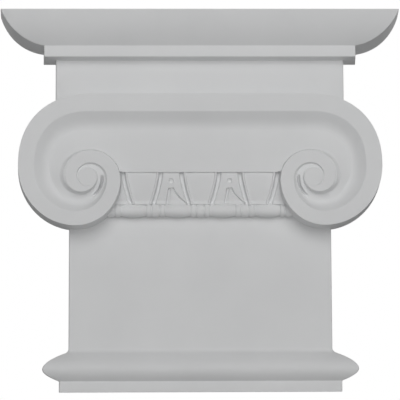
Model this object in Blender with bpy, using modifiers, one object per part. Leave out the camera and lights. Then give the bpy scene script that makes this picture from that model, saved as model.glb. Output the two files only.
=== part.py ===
"""Ionic pilaster capital, moulded in one piece with a flat back.

The origin is the centre of the flat back. X runs along the width, the front
faces -Y and Z is up. Heights are measured from the underside of the bottom
fillet, and depths are measured forward from the wall.
"""
import math

import bmesh
import bpy

# Driving dimensions, in metres
HEIGHT = 0.392
CROWN_HALF = 0.205
CROWN_DEPTH = 0.043

# Bottom fillet and torus
BASE_HALF = 0.1446
BASE_DEPTH = 0.014
BASE_TOP = 0.0114
BASE_ROUND = 0.002
TORUS_HALF = 0.1613
TORUS_DEPTH = 0.021
TORUS_TIP = 0.0237
TORUS_TOP = 0.0405
TORUS_POWER = 1.9

# Shaft and neck
SHAFT_HALF = 0.1354
SHAFT_DEPTH = 0.008
SHAFT_COVE = 0.004
NECK_HALF = 0.1494
NECK_DEPTH = 0.015

# Crown moulding, from the top down: an ovolo that returns to the wall, a fillet
# and the neck down to the scroll
OVOLO_RISE = 0.0351
FILLET_RISE = 0.0116
NECK_RISE = 0.0397
FILLET_HALF = 0.1612
FILLET_DEPTH = 0.026
FILLET_TOP = HEIGHT - OVOLO_RISE
FILLET_BOTTOM = FILLET_TOP - FILLET_RISE
OVOLO_SIDE_SAGITTA = 0.0077
OVOLO_FRONT_SAGITTA = 0.0026

# Slope of the mould's sides and undersides towards the wall
DRAFT = 0.085
UNDER_DRAFT = 0.15
CROWN_UNDER_DRAFT = 0.19

# Scroll: a rim round a sunk channel, coiled into a volute at each end
SCROLL_TOP = FILLET_BOTTOM - NECK_RISE
SCROLL_DEPTH = 0.032
CHANNEL_SINK = 0.009
CHANNEL_SLOPE = 0.6
COVE_WIDTH = 0.018
COVE_STRAIGHT = 0.45
COIL_COVE = 0.9
FOOT_WIDTH = 0.002
FOOT_SPREAD = 0.006
FOOT_SINK = 0.6
EYE_SINK = 0.0025
CRESCENT_TURN = 2.78
CRESCENT_SPAN = 0.38
CRESCENT_WIDTH = 0.0036
CRESCENT_SINK = 0.0070
RIM_WIDE = 0.0182
RIM_NARROW = 0.012
EYE_X = 0.1158
EYE_DROP = 0.0860
EYE_Z = SCROLL_TOP - EYE_DROP
EYE_RADIUS = 0.0097
GROOVE_WIDTH = 0.0012
SOFT = 0.0014
CHANNEL_BOTTOM = EYE_Z + 0.0057

# The block behind the scroll widens from the shaft to the neck
SHAFT_TOP = EYE_Z + 0.020
NECK_BOTTOM = SHAFT_TOP + 0.012

# Turning points of the volute's outer edge, outward and up from the eye,
# a quarter turn apart, from the top of the scroll in to the eye
TURNS = (
    (-0.0045, EYE_DROP),
    (0.0710, 0.0120),
    (0.0118, -0.0500),
    (-0.0338, -0.0029),
    (-0.0032, 0.0273),
    (0.0230, 0.0017),
    (0.0064, -0.0155),
    (-0.0097, 0.0),
)
TURN_STEPS = (12, 11, 9, 5, 12, 11, 9)
FIRST_TURN_POWER = 2.25
RIM_JOIN_TURN = 6.4
COVE_SHARES = (0.0, 0.45, 0.65, 0.82, 1.0)
FLOOR_SHARES = (0.5, 1.0)
FOOT_SHARES = (1.0, 0.5, 0.0)

# Egg-and-dart band between the volutes
BAND_TOP = CHANNEL_BOTTOM - 0.0003
BAND_RISE = 0.0305
BAND_BOTTOM = BAND_TOP - BAND_RISE
BAND_TOP_DEPTH = 0.0190
BAND_DROP = 0.0052
BAND_POWER = 1.8
BAND_BACK_DEPTH = 0.005
BAND_HALF = 0.096
HALF_PITCH = 0.03005
EGG_TOP_HALF = 0.0145
EGG_TAPER = 0.0071
EGG_RISE = 0.0024
SHELL_WIDTH = 0.0026
SHELL_RISE = 0.0034
RECESS_WIDTH = 0.0050
RECESS_SINK = 0.0010
PANEL_RISE = 0.0020
LEAF_TOP = 0.5
LEAF_TOP_HALF = 0.0032
LEAF_FLARE = 0.0130
LEAF_LEAN = 0.0026
LEAF_CUT = 0.0030
LEAF_EDGE = 0.0012
DIMPLE_AT = 0.28
DIMPLE_RADIUS = 0.0026
DIMPLE_SINK = 0.0018
LIP_START = 0.955
LIP_RISE = 0.0008
LIP_DROP = 0.0022
LIP_FLARE = 0.0012
BAND_SEAT = 0.004
BAND_LEVELS = (0.0, 0.1, 0.2, DIMPLE_AT, 0.36, 0.5, 0.54, 0.6, 0.7, 0.8, 0.9, LIP_START, 1.0)

# Bead-and-reel string under the band
STRING_DEPTH = 0.0120
BEAD_PITCH = 0.046
BEAD_HALF = 0.0123
BEAD_RADIUS = 0.0075
BEAD_END_RADIUS = 0.0058
REEL_RADIUS = 0.0071
REEL_NECK = 0.0013
STRING_Z = BAND_BOTTOM - BEAD_RADIUS - 0.0002
REEL_HALVES = (0.0030, 0.0041, 0.0030)
REEL_GAP = 0.0004
STRING_SIDES = 24

# How far the solids run behind the wall before the back is cut flat
BLOCK_RUN = 0.010
SCROLL_RUN = 0.008
WELD = 0.00001

NAME = "ionic_capital"
PRIMER_COLOR = (0.83, 0.836, 0.84, 1.0)


def row_z(height):
    """Height above the underside, as Z in the part's frame."""
    return height - HEIGHT / 2


def clear_scene():
    for old in list(bpy.data.objects):
        bpy.data.objects.remove(old, do_unlink=True)


def new_collection(name):
    group = bpy.data.collections.new(name)
    bpy.context.scene.collection.children.link(group)
    return group


def primer_material():
    paint = bpy.data.materials.new("primed_polyurethane")
    paint.use_nodes = True
    shader = paint.node_tree.nodes["Principled BSDF"]
    shader.inputs["Base Color"].default_value = PRIMER_COLOR
    shader.inputs["Roughness"].default_value = 0.6
    shader.inputs["Metallic"].default_value = 0.0
    return paint


def object_from(bm, name, group):
    """Weld the mesh, turn its faces outward and put it in a collection."""
    bmesh.ops.remove_doubles(bm, verts=bm.verts, dist=WELD)
    bmesh.ops.dissolve_degenerate(bm, edges=bm.edges, dist=WELD)
    bmesh.ops.recalc_face_normals(bm, faces=bm.faces)
    mesh = bpy.data.meshes.new(name)
    bm.to_mesh(mesh)
    bm.free()
    mesh.shade_smooth()
    mesh.set_sharp_from_angle(angle=math.radians(30))
    obj = bpy.data.objects.new(name, mesh)
    group.objects.link(obj)
    return obj


def as_cutter(obj):
    obj.hide_render = True
    obj.display_type = "WIRE"
    return obj


def bulge(height, low, high, sagitta):
    """Reach at a height on the arc between two (height, reach) points."""
    rise = high[0] - low[0]
    reach = high[1] - low[1]
    chord = math.hypot(rise, reach)
    radius = (chord * chord / 4 + sagitta * sagitta) / (2 * abs(sagitta))
    side = math.copysign(radius - abs(sagitta), sagitta)
    centre_height = (low[0] + high[0]) / 2 + side * reach / chord
    centre_reach = (low[1] + high[1]) / 2 - side * rise / chord
    across = math.sqrt(max(radius * radius - (height - centre_height) ** 2, 0.0))
    return centre_reach + math.copysign(across, sagitta)


def base_stations():
    """Height, half width, depth and under-draft from the foot to the shaft."""
    stations = [
        (0.0, BASE_HALF - BASE_ROUND, BASE_DEPTH - BASE_ROUND, 0.0),
        (BASE_ROUND, BASE_HALF, BASE_DEPTH, 0.0),
        (BASE_TOP, BASE_HALF, BASE_DEPTH, 0.0),
    ]
    for step in range(1, 6):
        off = 1 - step / 5
        fall = off ** TORUS_POWER
        half = TORUS_HALF - (TORUS_HALF - BASE_HALF) * fall
        depth = TORUS_DEPTH - (TORUS_DEPTH - BASE_DEPTH) * fall
        stations.append((TORUS_TIP - (TORUS_TIP - BASE_TOP) * off, half, depth, 0.0))
    cove_half = SHAFT_HALF + SHAFT_COVE * 0.6
    cove_depth = SHAFT_DEPTH + SHAFT_COVE * 0.4
    for step in range(1, 8):
        fall = (step / 7) ** TORUS_POWER
        half = TORUS_HALF - (TORUS_HALF - cove_half) * fall
        depth = TORUS_DEPTH - (TORUS_DEPTH - cove_depth) * fall
        stations.append((TORUS_TIP + (TORUS_TOP - TORUS_TIP) * step / 7, half, depth, 0.0))
    for share in (0.5, 1.0):
        left = (1 - share) ** 2
        half = SHAFT_HALF + SHAFT_COVE * 0.6 * left
        depth = SHAFT_DEPTH + SHAFT_COVE * 0.4 * left
        stations.append((TORUS_TOP + SHAFT_COVE * share, half, depth, 0.0))
    return stations


def crown_stations():
    """Height, half width, depth and under-draft from the shaft to the top."""
    neck_top = FILLET_BOTTOM - UNDER_DRAFT * (FILLET_DEPTH - NECK_DEPTH)
    stations = [
        (SHAFT_TOP, SHAFT_HALF, SHAFT_DEPTH, 0.0),
        (NECK_BOTTOM, NECK_HALF, NECK_DEPTH, 0.0),
        (neck_top, NECK_HALF, NECK_DEPTH, UNDER_DRAFT),
        (FILLET_BOTTOM, FILLET_HALF, FILLET_DEPTH, UNDER_DRAFT),
        (FILLET_TOP, FILLET_HALF, FILLET_DEPTH, CROWN_UNDER_DRAFT),
    ]
    foot = (FILLET_TOP, FILLET_HALF)
    top = (HEIGHT, CROWN_HALF)
    foot_depth = (FILLET_TOP, FILLET_DEPTH)
    top_depth = (HEIGHT, CROWN_DEPTH)
    for step in range(1, 15):
        share = (step / 14) ** 1.8
        height = FILLET_TOP + (HEIGHT - FILLET_TOP) * share
        half = bulge(height, foot, top, OVOLO_SIDE_SAGITTA)
        depth = bulge(height, foot_depth, top_depth, OVOLO_FRONT_SAGITTA)
        stations.append((height, half, depth, CROWN_UNDER_DRAFT * (1 - share)))
    return stations


def block(group):
    """Loft the base, shaft, neck and crown as rings of four corners."""
    bm = bmesh.new()
    rings = []
    for height, half, depth, under in base_stations() + crown_stations():
        run = depth + BLOCK_RUN
        wall_half = half + DRAFT * run
        wall_z = row_z(height - under * run)
        corners = (
            (-wall_half, BLOCK_RUN, wall_z),
            (-half, -depth, row_z(height)),
            (half, -depth, row_z(height)),
            (wall_half, BLOCK_RUN, wall_z),
        )
        rings.append([bm.verts.new(corner) for corner in corners])
    for low, high in zip(rings, rings[1:]):
        for side in range(4):
            after = (side + 1) % 4
            bm.faces.new((low[side], low[after], high[after], high[side]))
    bm.faces.new(list(reversed(rings[0])))
    bm.faces.new(rings[-1])
    bmesh.ops.triangulate(bm, faces=bm.faces)
    return object_from(bm, NAME, group)


def turn_point(turn, share):
    """Point on the volute's outer edge, a share of the way through a turn."""
    start = TURNS[turn]
    end = TURNS[turn + 1]
    power = 2 / (FIRST_TURN_POWER if turn == 0 else 2.0)
    sine = math.sin(math.pi / 2 * share) ** power
    cosine = max(math.cos(math.pi / 2 * share), 0.0) ** power
    if turn % 2 == 0:
        x = start[0] + (end[0] - start[0]) * sine
        z = end[1] + (start[1] - end[1]) * cosine
    else:
        x = end[0] + (start[0] - end[0]) * cosine
        z = start[1] + (end[1] - start[1]) * sine
    return EYE_X + x, EYE_Z + z


def band_share():
    """Share of the fourth turn at which the channel's lower edge meets it."""
    start = TURNS[3]
    end = TURNS[4]
    rise = (CHANNEL_BOTTOM - EYE_Z - start[1]) / (end[1] - start[1])
    return math.asin(rise) / (math.pi / 2)


def turn_shares(turn):
    """Shares at which a turn is sampled, with one at the band's corner."""
    steps = TURN_STEPS[turn]
    if turn != 3:
        return [step / steps for step in range(steps + 1)]
    corner = band_share()
    shares = [0.0]
    for step in range(steps):
        shares.append(corner + (1 - corner) * step / (steps - 1))
    return shares


def eye_point(turn, share):
    angle = math.radians(90 - 90 * (turn - 4 + share))
    x = EYE_X + EYE_RADIUS * math.cos(angle)
    return x, EYE_Z + EYE_RADIUS * math.sin(angle)


def rim_width(turns):
    left = max(1 - turns / 5, 0.0)
    return RIM_NARROW + (RIM_WIDE - RIM_NARROW) * left ** 1.5


def inward(turn, share):
    """Unit vector across the rim towards the inside of the coil."""
    before = turn_point(turn, max(share - 0.01, 0.0))
    after = turn_point(turn, min(share + 0.01, 1.0))
    dx = after[0] - before[0]
    dz = after[1] - before[1]
    length = math.hypot(dx, dz)
    return dz / length, -dx / length


def slope_fall(share):
    """Share of the sink reached across a slope that eases into the floor."""
    steep = 2 / (1 + COVE_STRAIGHT)
    past = max(share - COVE_STRAIGHT, 0.0)
    return steep * (share - past * past / (2 * (1 - COVE_STRAIGHT)))


def channel_sizes(turns, width):
    """Width and sink of the slope inside the rim and of the next winding's foot."""
    coiled = max(turns, 0.0)
    tight = min(max(turns - 2, 0.0), 1.0)
    cove = COVE_WIDTH * (1 - (1 - COIL_COVE) * min(coiled, 1.0))
    cove = min(cove, (0.55 - 0.23 * tight) * width)
    deepest = CHANNEL_SINK + (EYE_SINK - CHANNEL_SINK) * tight
    sink = min(deepest, CHANNEL_SLOPE * cove + SOFT * min(1, width / SOFT))
    spread = math.sin(math.pi / 2 * min(coiled, 2.0)) ** 2
    foot = min(FOOT_WIDTH * (1 - 0.4 * tight) + FOOT_SPREAD * spread, 0.25 * width)
    deep = FOOT_SINK + (1 - FOOT_SINK) * max(min(turns - 1, 1.0), -turns, 0.0)
    return cove, sink, foot, sink * deep


def crescent(turns):
    """Depth of the crescent cut beside the eye, which tapers at both ends."""
    away = abs(turns - CRESCENT_TURN) / CRESCENT_SPAN
    return CRESCENT_SINK * max(1 - away * away, 0.0)


def section(outer, inner, far, turns, walled):
    """Points across rim and channel, from the outer edge to the far edge."""
    width = math.hypot(far[0] - inner[0], far[1] - inner[1])
    cove, sink, foot, foot_sink = channel_sizes(turns, width)
    if not walled:
        foot, foot_sink = FOOT_WIDTH, sink
    floor = width - foot - cove
    spans = [(cove * share, sink * slope_fall(share)) for share in COVE_SHARES]
    for share in FLOOR_SHARES:
        run = min(CRESCENT_WIDTH, floor) * share
        dip = crescent(turns) * math.sin(math.pi * share)
        level = sink + (foot_sink - sink) * run / max(floor, WELD)
        spans.append((cove + run, level + dip))
    for share in FOOT_SHARES:
        drop = foot_sink * slope_fall(share) if walled else sink
        spans.append((width - foot * share, drop))
    points = [(outer[0], outer[1], SCROLL_DEPTH)]
    for distance, below in spans:
        share = distance / width if width > WELD else 1.0
        x = inner[0] + (far[0] - inner[0]) * share
        z = inner[1] + (far[1] - inner[1]) * share
        points.append((x, z, SCROLL_DEPTH - below))
    return points


def straight_sections():
    """Sections of the scroll from the middle to the start of the coil."""
    corner = EYE_X + TURNS[3][0]
    flats = [corner * step / 4 for step in range(4)]
    flats.append(corner - FOOT_WIDTH)
    coil_start = EYE_X + TURNS[0][0]
    sections = []
    for x in flats:
        outer = (x, SCROLL_TOP)
        inner = (x, SCROLL_TOP - RIM_WIDE)
        sections.append(section(outer, inner, (x, CHANNEL_BOTTOM), 0.0, False))
    shares = turn_shares(3)[1:]
    for step, share in enumerate(shares[:-1]):
        x = corner + (coil_start - corner) * step / (len(shares) - 1)
        outer = (x, SCROLL_TOP)
        inner = (x, SCROLL_TOP - RIM_WIDE)
        turns = step / (len(shares) - 1) - 1
        sections.append(section(outer, inner, turn_point(3, share), turns, True))
    return sections


def turn_section(turn, share):
    outer = turn_point(turn, share)
    far = turn_point(turn + 4, share) if turn < 3 else eye_point(turn, share)
    turns = turn + share
    if turns > 5:
        gap = math.hypot(far[0] - outer[0], far[1] - outer[1])
        groove = GROOVE_WIDTH * max(1 - (turns - 5) / (RIM_JOIN_TURN - 5), 0.0)
        groove = min(groove, gap)
        part = 1 - groove / gap if gap > WELD else 1.0
        inner = (outer[0] + (far[0] - outer[0]) * part, outer[1] + (far[1] - outer[1]) * part)
        return section(outer, inner, far, turns, True)
    across = inward(turn, share)
    width = rim_width(turns)
    inner = (outer[0] + across[0] * width, outer[1] + across[1] * width)
    return section(outer, inner, far, turns, True)


def scroll_sections():
    sections = straight_sections()
    for turn in range(7):
        shares = turn_shares(turn)
        for share in shares if turn == 6 else shares[:-1]:
            sections.append(turn_section(turn, share))
    return sections


def scroll_outline():
    """Outer edge of the scroll's half, from the middle top round to the bottom."""
    line = [(0.0, SCROLL_TOP, SCROLL_DEPTH)]
    for points in straight_sections()[1:]:
        line.append(points[0])
    for turn in range(3):
        for share in turn_shares(turn)[:-1]:
            line.append((*turn_point(turn, share), SCROLL_DEPTH))
    for share in turn_shares(3)[:2]:
        line.append((*turn_point(3, share), SCROLL_DEPTH))
    flats = [points[-1] for points in straight_sections() if points[-1][2] < SCROLL_DEPTH]
    return line + list(reversed(flats))


def wall_point(line, index):
    """The outline's point carried back past the wall along the draft."""
    x, z, depth = line[index]
    normal_x = 0.0
    normal_z = 0.0
    for first in (index - 1, index):
        if first < 0 or first + 1 >= len(line):
            continue
        dx = line[first + 1][0] - line[first][0]
        dz = line[first + 1][1] - line[first][1]
        length = math.hypot(dx, dz)
        normal_x -= dz / length
        normal_z += dx / length
    length = math.hypot(normal_x, normal_z)
    run = (depth + SCROLL_RUN) * DRAFT
    x = x + run * normal_x / length if index not in (0, len(line) - 1) else 0.0
    return x, z + run * normal_z / length


def scroll(group):
    """Half of the scroll, mirrored across the middle."""
    bm = bmesh.new()
    grid = []
    for points in scroll_sections():
        grid.append([bm.verts.new((x, -depth, row_z(z))) for x, z, depth in points])
    for one, two in zip(grid, grid[1:]):
        for index in range(len(one) - 1):
            bm.faces.new((one[index], one[index + 1], two[index + 1], two[index]))
    line = scroll_outline()
    front = [bm.verts.new((x, -depth, row_z(z))) for x, z, depth in line]
    back = []
    for index in range(len(line)):
        x, z = wall_point(line, index)
        back.append(bm.verts.new((x, SCROLL_RUN, row_z(z))))
    for index in range(len(line) - 1):
        bm.faces.new((front[index], front[index + 1], back[index + 1], back[index]))
    bm.faces.new(back)
    eye = []
    for turn in range(3, 7):
        for share in turn_shares(turn)[:-1]:
            x, z = eye_point(turn, share)
            eye.append(bm.verts.new((x, -SCROLL_DEPTH, row_z(z))))
    bm.faces.new(eye)
    bmesh.ops.remove_doubles(bm, verts=bm.verts, dist=WELD)
    bmesh.ops.triangulate(bm, faces=bm.faces)
    obj = object_from(bm, "scroll", group)
    mirror = obj.modifiers.new("mirror", "MIRROR")
    mirror.merge_threshold = 0.00005
    return as_cutter(obj)


def egg_half(down):
    return EGG_TOP_HALF - EGG_TAPER * down ** 1.5


def leaf_half(down, flared):
    """Half width of the dart's leaf, which flares on its right side only."""
    spread = max((down - LEAF_TOP) / (1 - LEAF_TOP), 0.0)
    if flared:
        return LEAF_TOP_HALF + LEAF_FLARE * spread ** 1.6
    return LEAF_TOP_HALF + LEAF_LEAN * spread


def band_columns(down, flared):
    """Distance from the egg's centre and rise, out to the dart's centre."""
    egg = egg_half(down)
    leaf = leaf_half(down, flared)
    cut = LEAF_CUT * min(max((down - LEAF_TOP) / 0.04, 0.0), 1.0)
    foot = egg + SHELL_WIDTH + RECESS_WIDTH * 0.25
    edge = min(egg + SHELL_WIDTH + RECESS_WIDTH, HALF_PITCH - leaf - 0.0002)
    return (
        (0.0, EGG_RISE),
        (egg * 0.6, EGG_RISE * 0.97),
        (egg, EGG_RISE * 0.85),
        (egg + SHELL_WIDTH * 0.35, SHELL_RISE),
        (egg + SHELL_WIDTH * 0.85, SHELL_RISE),
        (foot, -RECESS_SINK),
        (foot + (edge - foot) * 0.6, -RECESS_SINK),
        (edge, PANEL_RISE),
        (HALF_PITCH - leaf, PANEL_RISE),
        (HALF_PITCH - leaf + LEAF_EDGE, PANEL_RISE - cut),
        (HALF_PITCH - leaf + LEAF_EDGE * 2.2, PANEL_RISE - cut * 0.5),
        (HALF_PITCH, PANEL_RISE - cut * 0.1),
    )


def band_places(down):
    """Place along the band and rise, from its left end to its right end."""
    right = list(band_columns(down, False))
    left = [(-u, rise) for u, rise in reversed(band_columns(down, True))]
    places = [(-BAND_HALF, PANEL_RISE)]
    places += [(u - 2 * HALF_PITCH, rise) for u, rise in left[-8:]]
    for egg in (-2, 0):
        places += [(u + egg * HALF_PITCH, rise) for u, rise in right[1:]]
        places += [(u + (egg + 2) * HALF_PITCH, rise) for u, rise in left[1:]]
    places += [(u + 2 * HALF_PITCH, rise) for u, rise in right[1:8]]
    places.append((BAND_HALF, PANEL_RISE))
    return places


def band_row(down):
    """Points of one row of the band."""
    z = BAND_TOP + (BAND_BOTTOM - BAND_TOP) * down
    base = BAND_TOP_DEPTH - BAND_DROP * down ** BAND_POWER
    base += LIP_RISE * max((down - LIP_START) / (1 - LIP_START), 0.0)
    dimple_z = BAND_TOP + (BAND_BOTTOM - BAND_TOP) * DIMPLE_AT
    row = []
    for x, rise in band_places(down):
        off = math.hypot(abs(x) - HALF_PITCH, z - dimple_z) / DIMPLE_RADIUS
        sunk = DIMPLE_SINK * math.sqrt(max(1 - off * off, 0.0))
        row.append((x, z, base + rise - sunk))
    return row


def band(group):
    """The egg-and-dart band, whose lip rolls down onto the bead string."""
    bm = bmesh.new()
    rows = [band_row(level) for level in BAND_LEVELS]
    rows.insert(0, [(x, BAND_TOP + 0.003, depth) for x, z, depth in rows[0]])
    rows.insert(0, [(x, z, BAND_BACK_DEPTH) for x, z, depth in rows[0]])
    rows.append([(x, z - LIP_DROP, depth + LIP_FLARE) for x, z, depth in rows[-1]])
    rows.append([(x, z - BAND_SEAT, BAND_BACK_DEPTH) for x, z, depth in rows[-1]])
    grid = [[bm.verts.new((x, -depth, row_z(z))) for x, z, depth in row] for row in rows]
    for upper, lower in zip(grid, grid[1:]):
        for index in range(len(upper) - 1):
            bm.faces.new((upper[index], lower[index], lower[index + 1], upper[index + 1]))
    bm.faces.new(list(grid[0]) + list(reversed(grid[-1])))
    bm.faces.new([row[-1] for row in grid])
    bm.faces.new([row[0] for row in reversed(grid)])
    bmesh.ops.triangulate(bm, faces=bm.faces)
    return as_cutter(object_from(bm, "egg_and_dart", group))


def bead_profile(centre):
    """Along the string and radius, for one bead."""
    points = []
    for step in range(9):
        share = step / 4 - 1
        drop = (BEAD_RADIUS - BEAD_END_RADIUS) * abs(share) ** 2.6
        points.append((centre + BEAD_HALF * share, BEAD_RADIUS - drop))
    return points


def reel_profile(centre):
    """Along the string and radius, for three reels side by side."""
    points = []
    start = centre - sum(REEL_HALVES)
    for half in REEL_HALVES:
        middle = start + half
        for share in (-1, -0.8, 0, 0.8, 1):
            radius = REEL_RADIUS if abs(share) < 0.9 else REEL_RADIUS - REEL_NECK
            points.append((middle + (half - REEL_GAP / 2) * share, radius))
        start += 2 * half
    return points


def string_profile():
    points = [(-BEAD_PITCH * 2.1, 0.0)]
    for index in range(5):
        points += reel_profile(BEAD_PITCH * (index - 2))
        if index < 4:
            points += bead_profile(BEAD_PITCH * (index - 1.5))
    points.append((BEAD_PITCH * 2.1, 0.0))
    return points


def bead_string(group):
    """A turned string of beads and reels, laid along X."""
    bm = bmesh.new()
    verts = [bm.verts.new((radius, 0.0, -along)) for along, radius in string_profile()]
    for one, two in zip(verts, verts[1:]):
        bm.edges.new((one, two))
    mesh = bpy.data.meshes.new("bead_and_reel")
    bm.to_mesh(mesh)
    bm.free()
    obj = bpy.data.objects.new("bead_and_reel", mesh)
    group.objects.link(obj)
    obj.location = (0.0, -STRING_DEPTH, row_z(STRING_Z))
    obj.rotation_euler = (0.0, math.radians(90), 0.0)
    turned = obj.modifiers.new("turned", "SCREW")
    turned.angle = math.tau
    turned.steps = STRING_SIDES
    turned.render_steps = STRING_SIDES
    turned.use_merge_vertices = True
    turned.merge_threshold = 0.00005
    return as_cutter(obj)


def wall_cutter(group):
    """A box behind the wall plane, which cuts the back flat."""
    bpy.ops.mesh.primitive_cube_add(size=1.0)
    obj = bpy.context.active_object
    obj.name = "wall"
    obj.scale = (1.0, 0.1, 1.0)
    obj.location = (0.0, 0.05, 0.0)
    for home in list(obj.users_collection):
        home.objects.unlink(obj)
    group.objects.link(obj)
    return as_cutter(obj)


def combine(body, other, operation):
    step = body.modifiers.new(other.name, "BOOLEAN")
    step.operation = operation
    step.solver = "EXACT"
    step.object = other


def main():
    clear_scene()
    parts = new_collection("ionic_capital")
    cutters = new_collection("cutters")
    capital = block(parts)
    capital.data.materials.append(primer_material())
    combine(capital, scroll(cutters), "UNION")
    combine(capital, band(cutters), "UNION")
    combine(capital, bead_string(cutters), "UNION")
    combine(capital, wall_cutter(cutters), "DIFFERENCE")


main()
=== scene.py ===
import math

import bmesh
import bpy
from mathutils import Matrix, Vector

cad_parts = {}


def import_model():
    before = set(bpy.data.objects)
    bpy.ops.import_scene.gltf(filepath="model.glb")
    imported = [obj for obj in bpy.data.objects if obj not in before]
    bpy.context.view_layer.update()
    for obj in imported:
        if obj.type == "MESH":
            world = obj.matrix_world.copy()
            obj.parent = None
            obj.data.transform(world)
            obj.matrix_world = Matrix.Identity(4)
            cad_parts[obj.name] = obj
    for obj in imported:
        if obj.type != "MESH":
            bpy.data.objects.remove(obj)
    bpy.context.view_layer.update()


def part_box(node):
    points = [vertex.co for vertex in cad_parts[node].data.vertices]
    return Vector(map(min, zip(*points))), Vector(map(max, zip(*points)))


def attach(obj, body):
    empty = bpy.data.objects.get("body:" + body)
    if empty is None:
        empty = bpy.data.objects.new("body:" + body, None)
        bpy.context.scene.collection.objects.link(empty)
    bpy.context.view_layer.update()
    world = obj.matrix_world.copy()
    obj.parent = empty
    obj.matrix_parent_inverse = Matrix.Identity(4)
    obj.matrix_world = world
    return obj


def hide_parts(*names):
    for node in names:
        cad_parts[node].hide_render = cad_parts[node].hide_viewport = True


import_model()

CAD_LOW, CAD_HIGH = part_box("ionic_capital")

# Sizes in metres: heights from the underside, depths forward from the wall
HEIGHT = CAD_HIGH.z - CAD_LOW.z
CROWN_DEPTH = -CAD_LOW.y
CROWN_HALF = 0.205

# How far inside the outline the flat top and underside begin
CAP_INSET = 0.003

# Bottom fillet and torus
BASE_HALF = 0.1446
BASE_DEPTH = 0.014
BASE_TOP = 0.0114
TORUS_HALF = 0.1613
TORUS_DEPTH = 0.021
TORUS_TIP = 0.0237
TORUS_TOP = 0.0405
TORUS_POWER = 1.9
TORUS_LOWER_STEPS = 15
TORUS_UPPER_STEPS = 20

# Shaft and neck
SHAFT_HALF = 0.1354
SHAFT_DEPTH = 0.008
SHAFT_COVE = 0.004
COVE_SIDE_SHARE = 0.6
COVE_FRONT_SHARE = 0.4
COVE_UPPER_STEPS = 5
NECK_HALF = 0.1494
NECK_DEPTH = 0.015

# Crown moulding, from the top down
OVOLO_RISE = 0.0351
FILLET_RISE = 0.0116
NECK_RISE = 0.0397
FILLET_HALF = 0.1612
FILLET_DEPTH = 0.026
FILLET_TOP = HEIGHT - OVOLO_RISE
FILLET_BOTTOM = FILLET_TOP - FILLET_RISE
OVOLO_SIDE_SAGITTA = 0.0077
OVOLO_FRONT_SAGITTA = 0.0026
OVOLO_STEPS = 40
OVOLO_SPACING = 1.8

# Slope of the mould's sides and undersides towards the wall
DRAFT = 0.085
UNDER_DRAFT = 0.15
CROWN_UNDER_DRAFT = 0.19

# Scroll: a rim round a sunk channel, coiled into a volute at each end
SCROLL_TOP = FILLET_BOTTOM - NECK_RISE
SCROLL_DEPTH = 0.032
CHANNEL_SINK = 0.009
CHANNEL_SLOPE = 0.6
COVE_WIDTH = 0.018
COVE_STRAIGHT = 0.45
COIL_COVE = 0.9
COVE_SHARE = 0.55
COVE_TIGHTENS = 0.23
FOOT_WIDTH = 0.002
FOOT_SPREAD = 0.006
FOOT_SINK = 0.6
FOOT_SHARE = 0.25
FOOT_TIGHTENS = 0.4
EYE_SINK = 0.0025
CRESCENT_TURN = 2.78
CRESCENT_SPAN = 0.38
CRESCENT_WIDTH = 0.0036
CRESCENT_SINK = 0.0070
RIM_WIDE = 0.0182
RIM_NARROW = 0.012
EYE_X = 0.1158
EYE_DROP = 0.0860
EYE_Z = SCROLL_TOP - EYE_DROP
EYE_RADIUS = 0.0097
GROOVE_WIDTH = 0.0012
CHANNEL_BOTTOM = EYE_Z + 0.0057

# The block behind the scroll widens from the shaft to the neck
SHAFT_TOP = EYE_Z + 0.020
NECK_BOTTOM = SHAFT_TOP + 0.012

# Turning points of the volute's outer edge, outward and up from the eye,
# a quarter turn apart, from the top of the scroll in to the eye
TURNS = (
    (-0.0045, EYE_DROP),
    (0.0710, 0.0120),
    (0.0118, -0.0500),
    (-0.0338, -0.0029),
    (-0.0032, 0.0273),
    (0.0230, 0.0017),
    (0.0064, -0.0155),
    (-0.0097, 0.0),
)
TURN_STEPS = (40, 36, 32, 18, 40, 36, 32)
FIRST_TURN_POWER = 2.25
RIM_JOIN_TURN = 6.4
COVE_STEPS = 10
FLAT_STEPS = 6

# Egg-and-dart band between the volutes
BAND_TOP = CHANNEL_BOTTOM - 0.0003
BAND_RISE = 0.0305
BAND_BOTTOM = BAND_TOP - BAND_RISE
BAND_TOP_DEPTH = 0.0190
BAND_DROP = 0.0052
BAND_POWER = 1.8
BAND_BACK_DEPTH = 0.005
BAND_HEAD = 0.003
BAND_HALF = 0.096
HALF_PITCH = 0.03005
EGG_TOP_HALF = 0.0145
EGG_TAPER = 0.0071
EGG_RISE = 0.0024
SHELL_WIDTH = 0.0026
SHELL_RISE = 0.0034
RECESS_WIDTH = 0.0050
RECESS_SINK = 0.0010
PANEL_RISE = 0.0020
LEAF_TOP = 0.5
LEAF_TOP_HALF = 0.0032
LEAF_FLARE = 0.0130
LEAF_LEAN = 0.0026
LEAF_CUT = 0.0030
LEAF_EDGE = 0.0012
DIMPLE_AT = 0.28
DIMPLE_RADIUS = 0.0026
DIMPLE_SINK = 0.0018
LIP_START = 0.955
LIP_RISE = 0.0008
LIP_DROP = 0.0022
LIP_FLARE = 0.0012
BAND_SEAT = 0.004
BAND_ROWS = 46
BAND_SPLITS = 4

# Bead-and-reel string under the band
BEAD_PITCH = 0.046
BEAD_HALF = 0.0123
BEAD_RADIUS = 0.0075
BEAD_END_RADIUS = 0.0058
BEAD_POWER = 2.6
BEAD_STEPS = 24
REEL_RADIUS = 0.0071
REEL_NECK = 0.0013
REEL_HALVES = (0.0030, 0.0041, 0.0030)
REEL_GAP = 0.0004
REEL_SHARES = (-1, -0.9, -0.7, -0.35, 0, 0.35, 0.7, 0.9, 1)
REEL_POWER = 6
STRING_REACH = 2.1
STRING_Z = BAND_BOTTOM - BEAD_RADIUS - 0.0002
STRING_DEPTH = 0.0120
STRING_SIDES = 64

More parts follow.
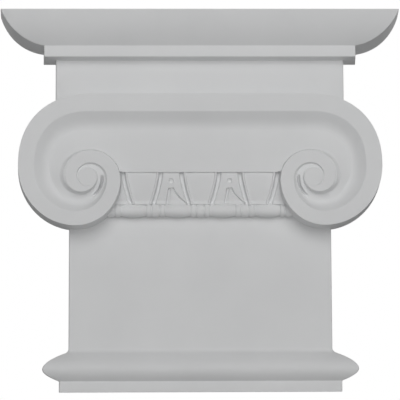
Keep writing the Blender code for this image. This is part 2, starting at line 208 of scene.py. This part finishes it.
# Softness of the moulded edges
EDGE = 0.0009
SOFT = 0.0014
CORNER = 0.0012
ROUND_SHARES = (0.0, 0.25, 0.5, 0.75, 1.0)

# How far the meshes run behind the wall before the back is cut flat
BLOCK_RUN = 0.010
SCROLL_RUN = 0.008
WELD = 0.000004

# Camera, solved from the photograph's edges, from the foot of the wall plane
CAMERA_X = -0.0315
CAMERA_DISTANCE = 1.830
CAMERA_HEIGHT = 0.0030
CAMERA_YAW = math.radians(0.984)
CAMERA_PITCH = math.radians(6.106)
CAMERA_ROLL = math.radians(-0.197)
CAMERA_LENS = 159.2
FLOOR_DROP = 0.25


def row_z(height):
    """Height above the underside, as Z in the part's frame."""
    return height - HEIGHT / 2


def object_from(bm, name):
    """Weld the mesh, turn its faces outward and put it in the scene."""
    bmesh.ops.remove_doubles(bm, verts=bm.verts, dist=WELD)
    bmesh.ops.dissolve_degenerate(bm, edges=bm.edges, dist=WELD)
    bmesh.ops.recalc_face_normals(bm, faces=bm.faces)
    mesh = bpy.data.meshes.new(name)
    bm.to_mesh(mesh)
    bm.free()
    obj = bpy.data.objects.new(name, mesh)
    bpy.context.scene.collection.objects.link(obj)
    return obj


def between(a, b, share):
    return tuple(one + (two - one) * share for one, two in zip(a, b))


def rounded(points, corners, radius):
    """Replace the listed corners of a line by short curves."""
    line = []
    for index, point in enumerate(points):
        if index not in corners:
            line.append(point)
            continue
        before = points[index - 1]
        after = points[index + 1]
        run_in = math.dist(point[:3], before[:3])
        run_out = math.dist(point[:3], after[:3])
        cut = min(radius, 0.45 * run_in, 0.45 * run_out)
        start = between(point, before, cut / run_in if run_in else 0.0)
        end = between(point, after, cut / run_out if run_out else 0.0)
        for share in ROUND_SHARES:
            line.append(between(between(start, point, share), between(point, end, share), share))
    return line


def bulge(height, low, high, sagitta):
    """Reach at a height on the arc between two (height, reach) points."""
    rise = high[0] - low[0]
    reach = high[1] - low[1]
    chord = math.hypot(rise, reach)
    radius = (chord * chord / 4 + sagitta * sagitta) / (2 * abs(sagitta))
    side = math.copysign(radius - abs(sagitta), sagitta)
    centre_height = (low[0] + high[0]) / 2 + side * reach / chord
    centre_reach = (low[1] + high[1]) / 2 - side * rise / chord
    across = math.sqrt(max(radius * radius - (height - centre_height) ** 2, 0.0))
    return centre_reach + math.copysign(across, sagitta)


def base_stations():
    """Height, half width, depth and under-draft from the foot to the shaft."""
    stations = [
        (0.0, BASE_HALF - CAP_INSET, BASE_DEPTH - CAP_INSET, 0.0),
        (0.0, BASE_HALF, BASE_DEPTH, 0.0),
        (BASE_TOP, BASE_HALF, BASE_DEPTH, 0.0),
    ]
    for step in range(1, TORUS_LOWER_STEPS + 1):
        off = 1 - step / TORUS_LOWER_STEPS
        fall = off ** TORUS_POWER
        half = TORUS_HALF - (TORUS_HALF - BASE_HALF) * fall
        depth = TORUS_DEPTH - (TORUS_DEPTH - BASE_DEPTH) * fall
        stations.append((TORUS_TIP - (TORUS_TIP - BASE_TOP) * off, half, depth, 0.0))
    cove_half = SHAFT_HALF + SHAFT_COVE * COVE_SIDE_SHARE
    cove_depth = SHAFT_DEPTH + SHAFT_COVE * COVE_FRONT_SHARE
    for step in range(1, TORUS_UPPER_STEPS + 1):
        share = step / TORUS_UPPER_STEPS
        fall = share ** TORUS_POWER
        half = TORUS_HALF - (TORUS_HALF - cove_half) * fall
        depth = TORUS_DEPTH - (TORUS_DEPTH - cove_depth) * fall
        stations.append((TORUS_TIP + (TORUS_TOP - TORUS_TIP) * share, half, depth, 0.0))
    for step in range(1, COVE_UPPER_STEPS + 1):
        share = step / COVE_UPPER_STEPS
        left = (1 - share) ** 2
        half = SHAFT_HALF + SHAFT_COVE * COVE_SIDE_SHARE * left
        depth = SHAFT_DEPTH + SHAFT_COVE * COVE_FRONT_SHARE * left
        stations.append((TORUS_TOP + SHAFT_COVE * share, half, depth, 0.0))
    return rounded(stations, (1, 2), EDGE)


def crown_stations():
    """Height, half width, depth and under-draft from the shaft to the top."""
    neck_top = FILLET_BOTTOM - UNDER_DRAFT * (FILLET_DEPTH - NECK_DEPTH)
    stations = [
        (SHAFT_TOP, SHAFT_HALF, SHAFT_DEPTH, 0.0),
        (NECK_BOTTOM, NECK_HALF, NECK_DEPTH, 0.0),
        (neck_top, NECK_HALF, NECK_DEPTH, UNDER_DRAFT),
        (FILLET_BOTTOM, FILLET_HALF, FILLET_DEPTH, UNDER_DRAFT),
        (FILLET_TOP, FILLET_HALF, FILLET_DEPTH, CROWN_UNDER_DRAFT),
    ]
    foot = (FILLET_TOP, FILLET_HALF)
    top = (HEIGHT, CROWN_HALF)
    foot_depth = (FILLET_TOP, FILLET_DEPTH)
    top_depth = (HEIGHT, CROWN_DEPTH)
    for step in range(1, OVOLO_STEPS + 1):
        share = (step / OVOLO_STEPS) ** OVOLO_SPACING
        height = FILLET_TOP + (HEIGHT - FILLET_TOP) * share
        half = bulge(height, foot, top, OVOLO_SIDE_SAGITTA)
        depth = bulge(height, foot_depth, top_depth, OVOLO_FRONT_SAGITTA)
        stations.append((height, half, depth, CROWN_UNDER_DRAFT * (1 - share)))
    stations.append((HEIGHT, CROWN_HALF - CAP_INSET, CROWN_DEPTH - CAP_INSET, 0.0))
    return rounded(stations, (2, 3, 4, len(stations) - 2), EDGE)


def block_ring(height, half, depth, under):
    """Corners of one level, from the wall round the rounded front corners."""
    run = depth + BLOCK_RUN
    wall_half = half + DRAFT * run
    wall_z = row_z(height - under * run)
    near_z = row_z(height - under * CORNER)
    left = [
        (-wall_half, BLOCK_RUN, wall_z),
        (-half - DRAFT * CORNER, CORNER - depth, near_z),
        (-half + CORNER * 0.1, CORNER * 0.4 - depth, row_z(height)),
        (-half + CORNER * 0.4, CORNER * 0.1 - depth, row_z(height)),
        (-half + CORNER, -depth, row_z(height)),
    ]
    return left + [(-x, y, z) for x, y, z in reversed(left)]


def block():
    """Loft the base, shaft, neck and crown."""
    bm = bmesh.new()
    rings = []
    for station in base_stations() + crown_stations():
        rings.append([bm.verts.new(corner) for corner in block_ring(*station)])
    count = len(rings[0])
    for low, high in zip(rings, rings[1:]):
        for side in range(count):
            after = (side + 1) % count
            bm.faces.new((low[side], low[after], high[after], high[side]))
    bm.faces.new(list(reversed(rings[0])))
    bm.faces.new(rings[-1])
    bmesh.ops.triangulate(bm, faces=bm.faces)
    return object_from(bm, "capital_casting")


def turn_point(turn, share):
    """Point on the volute's outer edge, a share of the way through a turn."""
    start = TURNS[turn]
    end = TURNS[turn + 1]
    power = 2 / (FIRST_TURN_POWER if turn == 0 else 2.0)
    sine = math.sin(math.pi / 2 * share) ** power
    cosine = max(math.cos(math.pi / 2 * share), 0.0) ** power
    if turn % 2 == 0:
        x = start[0] + (end[0] - start[0]) * sine
        z = end[1] + (start[1] - end[1]) * cosine
    else:
        x = end[0] + (start[0] - end[0]) * cosine
        z = start[1] + (end[1] - start[1]) * sine
    return EYE_X + x, EYE_Z + z


def band_share():
    """Share of the fourth turn at which the channel's lower edge meets it."""
    start = TURNS[3]
    end = TURNS[4]
    rise = (CHANNEL_BOTTOM - EYE_Z - start[1]) / (end[1] - start[1])
    return math.asin(rise) / (math.pi / 2)


def turn_shares(turn):
    """Shares at which a turn is sampled, with one at the band's corner."""
    steps = TURN_STEPS[turn]
    if turn != 3:
        return [step / steps for step in range(steps + 1)]
    corner = band_share()
    shares = [0.0, corner / 2]
    for step in range(steps):
        shares.append(corner + (1 - corner) * step / (steps - 1))
    return shares


def eye_point(turn, share):
    angle = math.radians(90 - 90 * (turn - 4 + share))
    x = EYE_X + EYE_RADIUS * math.cos(angle)
    return x, EYE_Z + EYE_RADIUS * math.sin(angle)


def rim_width(turns):
    left = max(1 - turns / 5, 0.0)
    return RIM_NARROW + (RIM_WIDE - RIM_NARROW) * left ** 1.5


def inward(turn, share):
    """Unit vector across the rim towards the inside of the coil."""
    before = turn_point(turn, max(share - 0.01, 0.0))
    after = turn_point(turn, min(share + 0.01, 1.0))
    dx = after[0] - before[0]
    dz = after[1] - before[1]
    length = math.hypot(dx, dz)
    return dz / length, -dx / length


def slope_fall(share):
    """Share of the sink reached across a slope that eases into the floor."""
    steep = 2 / (1 + COVE_STRAIGHT)
    past = max(share - COVE_STRAIGHT, 0.0)
    return steep * (share - past * past / (2 * (1 - COVE_STRAIGHT)))


def channel_sizes(turns, width):
    """Width and sink of the slope inside the rim and of the next winding's foot."""
    coiled = max(turns, 0.0)
    tight = min(max(turns - 2, 0.0), 1.0)
    cove = COVE_WIDTH * (1 - (1 - COIL_COVE) * min(coiled, 1.0))
    cove = min(cove, (COVE_SHARE - COVE_TIGHTENS * tight) * width)
    deepest = CHANNEL_SINK + (EYE_SINK - CHANNEL_SINK) * tight
    sink = min(deepest, CHANNEL_SLOPE * cove + SOFT * min(1, width / SOFT))
    spread = math.sin(math.pi / 2 * min(coiled, 2.0)) ** 2
    foot = FOOT_WIDTH * (1 - FOOT_TIGHTENS * tight) + FOOT_SPREAD * spread
    foot = min(foot, FOOT_SHARE * width)
    deep = FOOT_SINK + (1 - FOOT_SINK) * max(min(turns - 1, 1.0), -turns, 0.0)
    return cove, sink, foot, sink * deep


def crescent(turns):
    """Depth of the crescent cut beside the eye, which tapers at both ends."""
    away = abs(turns - CRESCENT_TURN) / CRESCENT_SPAN
    return CRESCENT_SINK * max(1 - away * away, 0.0)


def section(outer, inner, far, turns, walled):
    """Points across rim and channel, from the outer edge to the far edge."""
    width = math.hypot(far[0] - inner[0], far[1] - inner[1])
    cove, sink, foot, foot_sink = channel_sizes(turns, width)
    if not walled:
        foot, foot_sink = FOOT_WIDTH, sink
    floor = width - foot - cove
    shares = [step / COVE_STEPS for step in range(COVE_STEPS + 1)]
    spans = [(cove * share, sink * slope_fall(share)) for share in shares]
    for share in shares[1:]:
        run = min(CRESCENT_WIDTH, floor) * share
        dip = crescent(turns) * math.sin(math.pi * share)
        level = sink + (foot_sink - sink) * run / max(floor, WELD)
        spans.append((cove + run, level + dip))
    for share in reversed(shares):
        drop = max(foot_sink * slope_fall(share), min(SOFT, sink)) if walled else sink
        spans.append((width - foot * share, drop))
    points = [
        (outer[0], outer[1], SCROLL_DEPTH - SOFT),
        (outer[0], outer[1], SCROLL_DEPTH),
    ]
    for distance, below in spans:
        share = distance / width if width > WELD else 1.0
        x = inner[0] + (far[0] - inner[0]) * share
        z = inner[1] + (far[1] - inner[1]) * share
        points.append((x, z, SCROLL_DEPTH - below))
    if walled:
        # The last point is repeated, to match the count of a section with a third corner
        line = rounded(points, (1, 2), EDGE)
        return line + [line[-1]] * len(ROUND_SHARES)
    points.append((far[0], far[1], SCROLL_DEPTH - sink - SOFT))
    return rounded(points, (1, 2, len(points) - 2), EDGE)


def straight_sections():
    """Sections of the scroll from the middle to the start of the coil."""
    corner = EYE_X + TURNS[3][0]
    flats = [corner * step / FLAT_STEPS for step in range(FLAT_STEPS)]
    flats.append(corner - FOOT_WIDTH)
    coil_start = EYE_X + TURNS[0][0]
    sections = []
    for x in flats:
        outer = (x, SCROLL_TOP)
        inner = (x, SCROLL_TOP - RIM_WIDE)
        sections.append(section(outer, inner, (x, CHANNEL_BOTTOM), 0.0, False))
    shares = turn_shares(3)[2:]
    for step, share in enumerate(shares[:-1]):
        x = corner + (coil_start - corner) * step / (len(shares) - 1)
        outer = (x, SCROLL_TOP)
        inner = (x, SCROLL_TOP - RIM_WIDE)
        turns = step / (len(shares) - 1) - 1
        sections.append(section(outer, inner, turn_point(3, share), turns, True))
    return sections, len(flats)


def turn_section(turn, share):
    outer = turn_point(turn, share)
    far = turn_point(turn + 4, share) if turn < 3 else eye_point(turn, share)
    turns = turn + share
    if turns > 5:
        gap = math.hypot(far[0] - outer[0], far[1] - outer[1])
        groove = GROOVE_WIDTH * max(1 - (turns - 5) / (RIM_JOIN_TURN - 5), 0.0)
        groove = min(groove, gap)
        part = 1 - groove / gap if gap > WELD else 1.0
        inner = (outer[0] + (far[0] - outer[0]) * part, outer[1] + (far[1] - outer[1]) * part)
    else:
        across = inward(turn, share)
        width = rim_width(turns)
        inner = (outer[0] + across[0] * width, outer[1] + across[1] * width)
    points = section(outer, inner, far, turns, True)
    if turns == 7:
        return [points[0]] * len(points)
    return points


def coil_sections():
    sections = []
    for turn in range(7):
        shares = turn_shares(turn)
        for share in shares if turn == 6 else shares[:-1]:
            sections.append(turn_section(turn, share))
    return sections


def scroll_outline():
    """Outer edge of the scroll's half, from the middle top round to the bottom."""
    straight, flats = straight_sections()
    line = [points[0] for points in straight]
    depth = SCROLL_DEPTH - SOFT
    for turn in range(3):
        for share in turn_shares(turn)[:-1]:
            line.append((*turn_point(turn, share), depth))
    for share in turn_shares(3)[:3]:
        line.append((*turn_point(3, share), depth))
    return line + [points[-1] for points in reversed(straight[:flats])]


def wall_point(line, index):
    """The outline's point carried back past the wall along the draft."""
    x, z, depth = line[index]
    normal_x = 0.0
    normal_z = 0.0
    for first in (index - 1, index):
        if first < 0 or first + 1 >= len(line):
            continue
        dx = line[first + 1][0] - line[first][0]
        dz = line[first + 1][1] - line[first][1]
        length = math.hypot(dx, dz)
        normal_x -= dz / length
        normal_z += dx / length
    length = math.hypot(normal_x, normal_z)
    run = (depth + SCROLL_RUN) * DRAFT
    x = x + run * normal_x / length if index not in (0, len(line) - 1) else 0.0
    return x, z + run * normal_z / length


def eye_rings(bm):
    """The eye's soft edge and flat face, from the groove's edge inward."""
    steps = [(turn, share) for turn in range(3, 7) for share in turn_shares(turn)[:-1]]
    levels = ((1.0, 0.7), (1 - 0.15 * EDGE / EYE_RADIUS, 0.15), (1 - 0.7 * EDGE / EYE_RADIUS, 0.0))
    rings = [[turn_section(turn, share)[-1] for turn, share in steps]]
    for scale, sunk in levels:
        ring = []
        for (turn, share), edge in zip(steps, rings[0]):
            x, z = eye_point(turn, share)
            depth = max(SCROLL_DEPTH - sunk * EDGE, edge[2])
            ring.append((EYE_X + (x - EYE_X) * scale, EYE_Z + (z - EYE_Z) * scale, depth))
        rings.append(ring)
    verts = [[bm.verts.new((x, -d, row_z(z))) for x, z, d in ring] for ring in rings]
    for outer, inner in zip(verts, verts[1:]):
        for index in range(len(outer)):
            after = (index + 1) % len(outer)
            bm.faces.new((outer[index], outer[after], inner[after], inner[index]))
    bm.faces.new(verts[-1])


def scroll():
    """Half of the scroll, mirrored across the middle."""
    bm = bmesh.new()
    grid = []
    for points in straight_sections()[0] + coil_sections():
        grid.append([bm.verts.new((x, -depth, row_z(z))) for x, z, depth in points])
    for one, two in zip(grid, grid[1:]):
        for index in range(len(one) - 1):
            bm.faces.new((one[index], one[index + 1], two[index + 1], two[index]))
    line = scroll_outline()
    front = [bm.verts.new((x, -depth, row_z(z))) for x, z, depth in line]
    back = []
    for index in range(len(line)):
        x, z = wall_point(line, index)
        back.append(bm.verts.new((x, SCROLL_RUN, row_z(z))))
    for index in range(len(line) - 1):
        bm.faces.new((front[index], front[index + 1], back[index + 1], back[index]))
    bm.faces.new(back)
    eye_rings(bm)
    bmesh.ops.remove_doubles(bm, verts=bm.verts, dist=WELD)
    bmesh.ops.triangulate(bm, faces=bm.faces)
    obj = object_from(bm, "scroll")
    mirror = obj.modifiers.new("mirror", "MIRROR")
    mirror.merge_threshold = 0.00005
    return obj


def egg_half(down):
    return EGG_TOP_HALF - EGG_TAPER * down ** 1.5


def leaf_half(down, flared):
    """Half width of the dart's leaf, which flares on its right side only."""
    spread = max((down - LEAF_TOP) / (1 - LEAF_TOP), 0.0)
    if flared:
        return LEAF_TOP_HALF + LEAF_FLARE * spread ** 1.6
    return LEAF_TOP_HALF + LEAF_LEAN * spread


def band_columns(down, flared):
    """Distance from the egg's centre and rise, out to the dart's centre."""
    egg = egg_half(down)
    leaf = leaf_half(down, flared)
    cut = LEAF_CUT * min(max((down - LEAF_TOP) / 0.04, 0.0), 1.0)
    foot = egg + SHELL_WIDTH + RECESS_WIDTH * 0.25
    edge = min(egg + SHELL_WIDTH + RECESS_WIDTH, HALF_PITCH - leaf - 0.0002)
    return (
        (0.0, EGG_RISE),
        (egg * 0.6, EGG_RISE * 0.97),
        (egg, EGG_RISE * 0.85),
        (egg + SHELL_WIDTH * 0.35, SHELL_RISE),
        (egg + SHELL_WIDTH * 0.85, SHELL_RISE),
        (foot, -RECESS_SINK),
        (foot + (edge - foot) * 0.6, -RECESS_SINK),
        (edge, PANEL_RISE),
        (HALF_PITCH - leaf, PANEL_RISE),
        (HALF_PITCH - leaf + LEAF_EDGE, PANEL_RISE - cut),
        (HALF_PITCH - leaf + LEAF_EDGE * 2.2, PANEL_RISE - cut * 0.5),
        (HALF_PITCH, PANEL_RISE - cut * 0.1),
    )


def fine_columns(down, flared):
    """The columns with soft steps between them."""
    columns = band_columns(down, flared)
    fine = []
    for one, two in zip(columns, columns[1:]):
        for step in range(BAND_SPLITS):
            share = step / BAND_SPLITS
            soft = share * share * (3 - 2 * share)
            fine.append((one[0] + (two[0] - one[0]) * share, one[1] + (two[1] - one[1]) * soft))
    fine.append(columns[-1])
    return fine


def band_places(down):
    """Place along the band and rise, from its left end to its right end."""
    right = fine_columns(down, False)
    left = [(-u, rise) for u, rise in reversed(fine_columns(down, True))]
    ends = 7 * BAND_SPLITS + 1
    places = [(-BAND_HALF, PANEL_RISE)]
    places += [(u - 2 * HALF_PITCH, rise) for u, rise in left[-ends:]]
    for egg in (-2, 0):
        places += [(u + egg * HALF_PITCH, rise) for u, rise in right[1:]]
        places += [(u + (egg + 2) * HALF_PITCH, rise) for u, rise in left[1:]]
    places += [(u + 2 * HALF_PITCH, rise) for u, rise in right[1:ends]]
    places.append((BAND_HALF, PANEL_RISE))
    return places


def band_row(down):
    """Points of one row of the band."""
    z = BAND_TOP + (BAND_BOTTOM - BAND_TOP) * down
    base = BAND_TOP_DEPTH - BAND_DROP * down ** BAND_POWER
    base += LIP_RISE * max((down - LIP_START) / (1 - LIP_START), 0.0)
    dimple_z = BAND_TOP + (BAND_BOTTOM - BAND_TOP) * DIMPLE_AT
    row = []
    for x, rise in band_places(down):
        off = math.hypot(abs(x) - HALF_PITCH, z - dimple_z) / DIMPLE_RADIUS
        sunk = DIMPLE_SINK * math.sqrt(max(1 - off * off, 0.0))
        row.append((x, z, base + rise - sunk))
    return row


def band():
    """The egg-and-dart band, whose lip rolls down onto the bead string."""
    bm = bmesh.new()
    rows = [band_row(step / BAND_ROWS) for step in range(BAND_ROWS + 1)]
    last = rows[-1]
    rows.insert(0, [(x, BAND_TOP + BAND_HEAD, depth) for x, z, depth in rows[0]])
    rows.insert(0, [(x, z, BAND_BACK_DEPTH) for x, z, depth in rows[0]])
    for sink, out in ((0.4, 0.4), (0.75, 0.75), (0.92, 0.85), (1.0, 0.65)):
        rows.append([(x, z - LIP_DROP * sink, depth + LIP_FLARE * out) for x, z, depth in last])
    rows.append([(x, z - BAND_SEAT, BAND_BACK_DEPTH) for x, z, depth in rows[-1]])
    grid = [[bm.verts.new((x, -depth, row_z(z))) for x, z, depth in row] for row in rows]
    for upper, lower in zip(grid, grid[1:]):
        for index in range(len(upper) - 1):
            bm.faces.new((upper[index], lower[index], lower[index + 1], upper[index + 1]))
    bm.faces.new(list(grid[0]) + list(reversed(grid[-1])))
    bm.faces.new([row[-1] for row in grid])
    bm.faces.new([row[0] for row in reversed(grid)])
    bmesh.ops.triangulate(bm, faces=bm.faces)
    return object_from(bm, "egg_and_dart")


def bead_profile(centre):
    """Along the string and radius, for one bead."""
    points = []
    for step in range(BEAD_STEPS + 1):
        share = 2 * step / BEAD_STEPS - 1
        drop = (BEAD_RADIUS - BEAD_END_RADIUS) * abs(share) ** BEAD_POWER
        points.append((centre + BEAD_HALF * share, BEAD_RADIUS - drop))
    return points


def reel_profile(centre):
    """Along the string and radius, for three reels side by side."""
    points = []
    start = centre - sum(REEL_HALVES)
    for half in REEL_HALVES:
        middle = start + half
        for share in REEL_SHARES:
            radius = REEL_RADIUS - REEL_NECK * abs(share) ** REEL_POWER
            points.append((middle + (half - REEL_GAP / 2) * share, radius))
        start += 2 * half
    return points


def string_profile():
    points = [(-BEAD_PITCH * STRING_REACH, 0.0)]
    for index in range(5):
        points += reel_profile(BEAD_PITCH * (index - 2))
        if index < 4:
            points += bead_profile(BEAD_PITCH * (index - 1.5))
    points.append((BEAD_PITCH * STRING_REACH, 0.0))
    return points


def bead_string():
    """A turned string of beads and reels, laid along X."""
    bm = bmesh.new()
    verts = [bm.verts.new((radius, 0.0, -along)) for along, radius in string_profile()]
    for one, two in zip(verts, verts[1:]):
        bm.edges.new((one, two))
    mesh = bpy.data.meshes.new("bead_and_reel")
    bm.to_mesh(mesh)
    bm.free()
    obj = bpy.data.objects.new("bead_and_reel", mesh)
    bpy.context.scene.collection.objects.link(obj)
    obj.location = (0.0, -STRING_DEPTH, row_z(STRING_Z))
    obj.rotation_euler = (0.0, math.radians(90), 0.0)
    turned = obj.modifiers.new("turned", "SCREW")
    turned.angle = math.tau
    turned.steps = STRING_SIDES
    turned.render_steps = STRING_SIDES
    turned.use_merge_vertices = True
    turned.merge_threshold = 0.00002
    return obj


def wall_box():
    """A box behind the wall plane, which cuts the back flat."""
    bm = bmesh.new()
    bmesh.ops.create_cube(bm, size=1.0, matrix=Matrix.Translation((0, 0.5, 0)))
    return object_from(bm, "wall")


def combine(body, other, operation):
    step = body.modifiers.new(other.name, "BOOLEAN")
    step.operation = operation
    step.solver = "EXACT"
    step.object = other


def casting():
    """Join the parts of the capital and shade their edges softly."""
    body = block()
    tools = [scroll(), band(), bead_string(), wall_box()]
    for tool in tools[:-1]:
        combine(body, tool, "UNION")
    combine(body, tools[-1], "DIFFERENCE")
    seen = body.evaluated_get(bpy.context.evaluated_depsgraph_get())
    mesh = bpy.data.meshes.new_from_object(seen)
    for step in list(body.modifiers):
        body.modifiers.remove(step)
    for tool in tools:
        bpy.data.objects.remove(tool, do_unlink=True)
    body.data = mesh
    mesh.shade_smooth()
    mesh.set_sharp_from_angle(angle=math.radians(38))
    soft = body.modifiers.new("soft_edges", "WEIGHTED_NORMAL")
    soft.keep_sharp = True
    soft.weight = 80
    return body


def primer():
    """Pale factory primer: faint mottling, fine spray texture."""
    paint = bpy.data.materials.new("primed_polyurethane")
    paint.use_nodes = True
    nodes = paint.node_tree.nodes
    links = paint.node_tree.links
    shader = nodes["Principled BSDF"]
    place = nodes.new("ShaderNodeTexCoord")
    cloud = nodes.new("ShaderNodeTexNoise")
    cloud.inputs["Scale"].default_value = 14.0
    cloud.inputs["Detail"].default_value = 5.0
    links.new(place.outputs["Object"], cloud.inputs["Vector"])
    tone = nodes.new("ShaderNodeValToRGB")
    tone.color_ramp.elements[0].position = 0.3
    tone.color_ramp.elements[0].color = (0.815, 0.821, 0.826, 1)
    tone.color_ramp.elements[1].position = 0.7
    tone.color_ramp.elements[1].color = (0.850, 0.856, 0.860, 1)
    links.new(cloud.outputs["Fac"], tone.inputs["Fac"])
    links.new(tone.outputs["Color"], shader.inputs["Base Color"])
    spray = nodes.new("ShaderNodeTexNoise")
    spray.inputs["Scale"].default_value = 900.0
    spray.inputs["Detail"].default_value = 3.0
    links.new(place.outputs["Object"], spray.inputs["Vector"])
    grain = nodes.new("ShaderNodeBump")
    grain.inputs["Strength"].default_value = 0.12
    grain.inputs["Distance"].default_value = 0.0002
    links.new(spray.outputs["Fac"], grain.inputs["Height"])
    links.new(grain.outputs["Normal"], shader.inputs["Normal"])
    sheen = nodes.new("ShaderNodeMapRange")
    sheen.inputs["To Min"].default_value = 0.52
    sheen.inputs["To Max"].default_value = 0.66
    links.new(cloud.outputs["Fac"], sheen.inputs["Value"])
    links.new(sheen.outputs["Result"], shader.inputs["Roughness"])
    shader.inputs["Specular IOR Level"].default_value = 0.35
    return paint


def plain(name, color, rough):
    paint = bpy.data.materials.new(name)
    paint.use_nodes = True
    shader = paint.node_tree.nodes["Principled BSDF"]
    shader.inputs["Base Color"].default_value = (*color, 1)
    shader.inputs["Roughness"].default_value = rough
    return paint


def floor():
    bm = bmesh.new()
    place = Matrix.Translation((0, 0, row_z(-FLOOR_DROP)))
    bmesh.ops.create_grid(bm, x_segments=1, y_segments=1, size=4.0, matrix=place)
    obj = object_from(bm, "floor")
    obj.data.materials.append(plain("floor", (0.86, 0.86, 0.86), 0.9))


def area_light(name, place, aim, size, power):
    lamp = bpy.data.lights.new(name, "AREA")
    lamp.shape = "DISK"
    lamp.size = size
    lamp.energy = power
    obj = bpy.data.objects.new(name, lamp)
    bpy.context.scene.collection.objects.link(obj)
    obj.location = place
    obj.rotation_euler = (Vector(aim) - Vector(place)).to_track_quat("-Z", "Y").to_euler()


def lights():
    """Broad, dim light from the front and above, less from the sides and behind."""
    area_light("front_high", (0.0, -3.64, 2.10), (0, 0, 0), 2.7, 56)
    area_light("front", (0.0, -4.19, 0.22), (0, 0, 0), 2.7, 18)
    area_light("right", (1.77, -3.79, 0.37), (0, 0, 0), 2.7, 19.5)
    area_light("left", (-1.77, -3.79, 0.37), (0, 0, 0), 2.7, 9)
    area_light("behind_right", (2.2, 3.3, 0.55), (0, 0, 0), 2.0, 16)
    area_light("behind_left", (-2.2, 3.3, 0.55), (0, 0, 0), 2.0, 16)


def world():
    """White surround for the eye, dimmer as a light."""
    space = bpy.data.worlds.new("studio")
    bpy.context.scene.world = space
    space.use_nodes = True
    nodes = space.node_tree.nodes
    links = space.node_tree.links
    nodes.clear()
    path = nodes.new("ShaderNodeLightPath")
    seen = nodes.new("ShaderNodeBackground")
    seen.inputs["Strength"].default_value = 1.0
    seen.inputs["Color"].default_value = (1, 1, 1, 1)
    lit = nodes.new("ShaderNodeBackground")
    lit.inputs["Strength"].default_value = 0.02
    lit.inputs["Color"].default_value = (1, 1, 1, 1)
    mix = nodes.new("ShaderNodeMixShader")
    out = nodes.new("ShaderNodeOutputWorld")
    links.new(path.outputs["Is Camera Ray"], mix.inputs["Fac"])
    links.new(lit.outputs["Background"], mix.inputs[1])
    links.new(seen.outputs["Background"], mix.inputs[2])
    links.new(mix.outputs["Shader"], out.inputs["Surface"])


def camera():
    lens = bpy.data.cameras.new("camera")
    lens.lens = CAMERA_LENS
    lens.sensor_width = 36.0
    lens.clip_start = 0.1
    obj = bpy.data.objects.new("camera", lens)
    bpy.context.scene.collection.objects.link(obj)
    cos_p = math.cos(CAMERA_PITCH)
    ahead = Vector((math.sin(CAMERA_YAW) * cos_p, math.cos(CAMERA_YAW) * cos_p, math.sin(CAMERA_PITCH)))
    level = Vector((math.cos(CAMERA_YAW), -math.sin(CAMERA_YAW), 0))
    above = level.cross(ahead)
    right = math.cos(CAMERA_ROLL) * level + math.sin(CAMERA_ROLL) * above
    up = math.cos(CAMERA_ROLL) * above - math.sin(CAMERA_ROLL) * level
    place = Matrix((right, up, -ahead)).transposed().to_4x4()
    place.translation = (CAMERA_X, -CAMERA_DISTANCE, row_z(CAMERA_HEIGHT))
    obj.matrix_world = place
    bpy.context.scene.camera = obj


capital = casting()
capital.data.materials.clear()
capital.data.materials.append(primer())
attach(capital, "root")
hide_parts("ionic_capital")
floor()
lights()
world()
camera()
bpy.context.scene.view_settings.view_transform = "Standard"
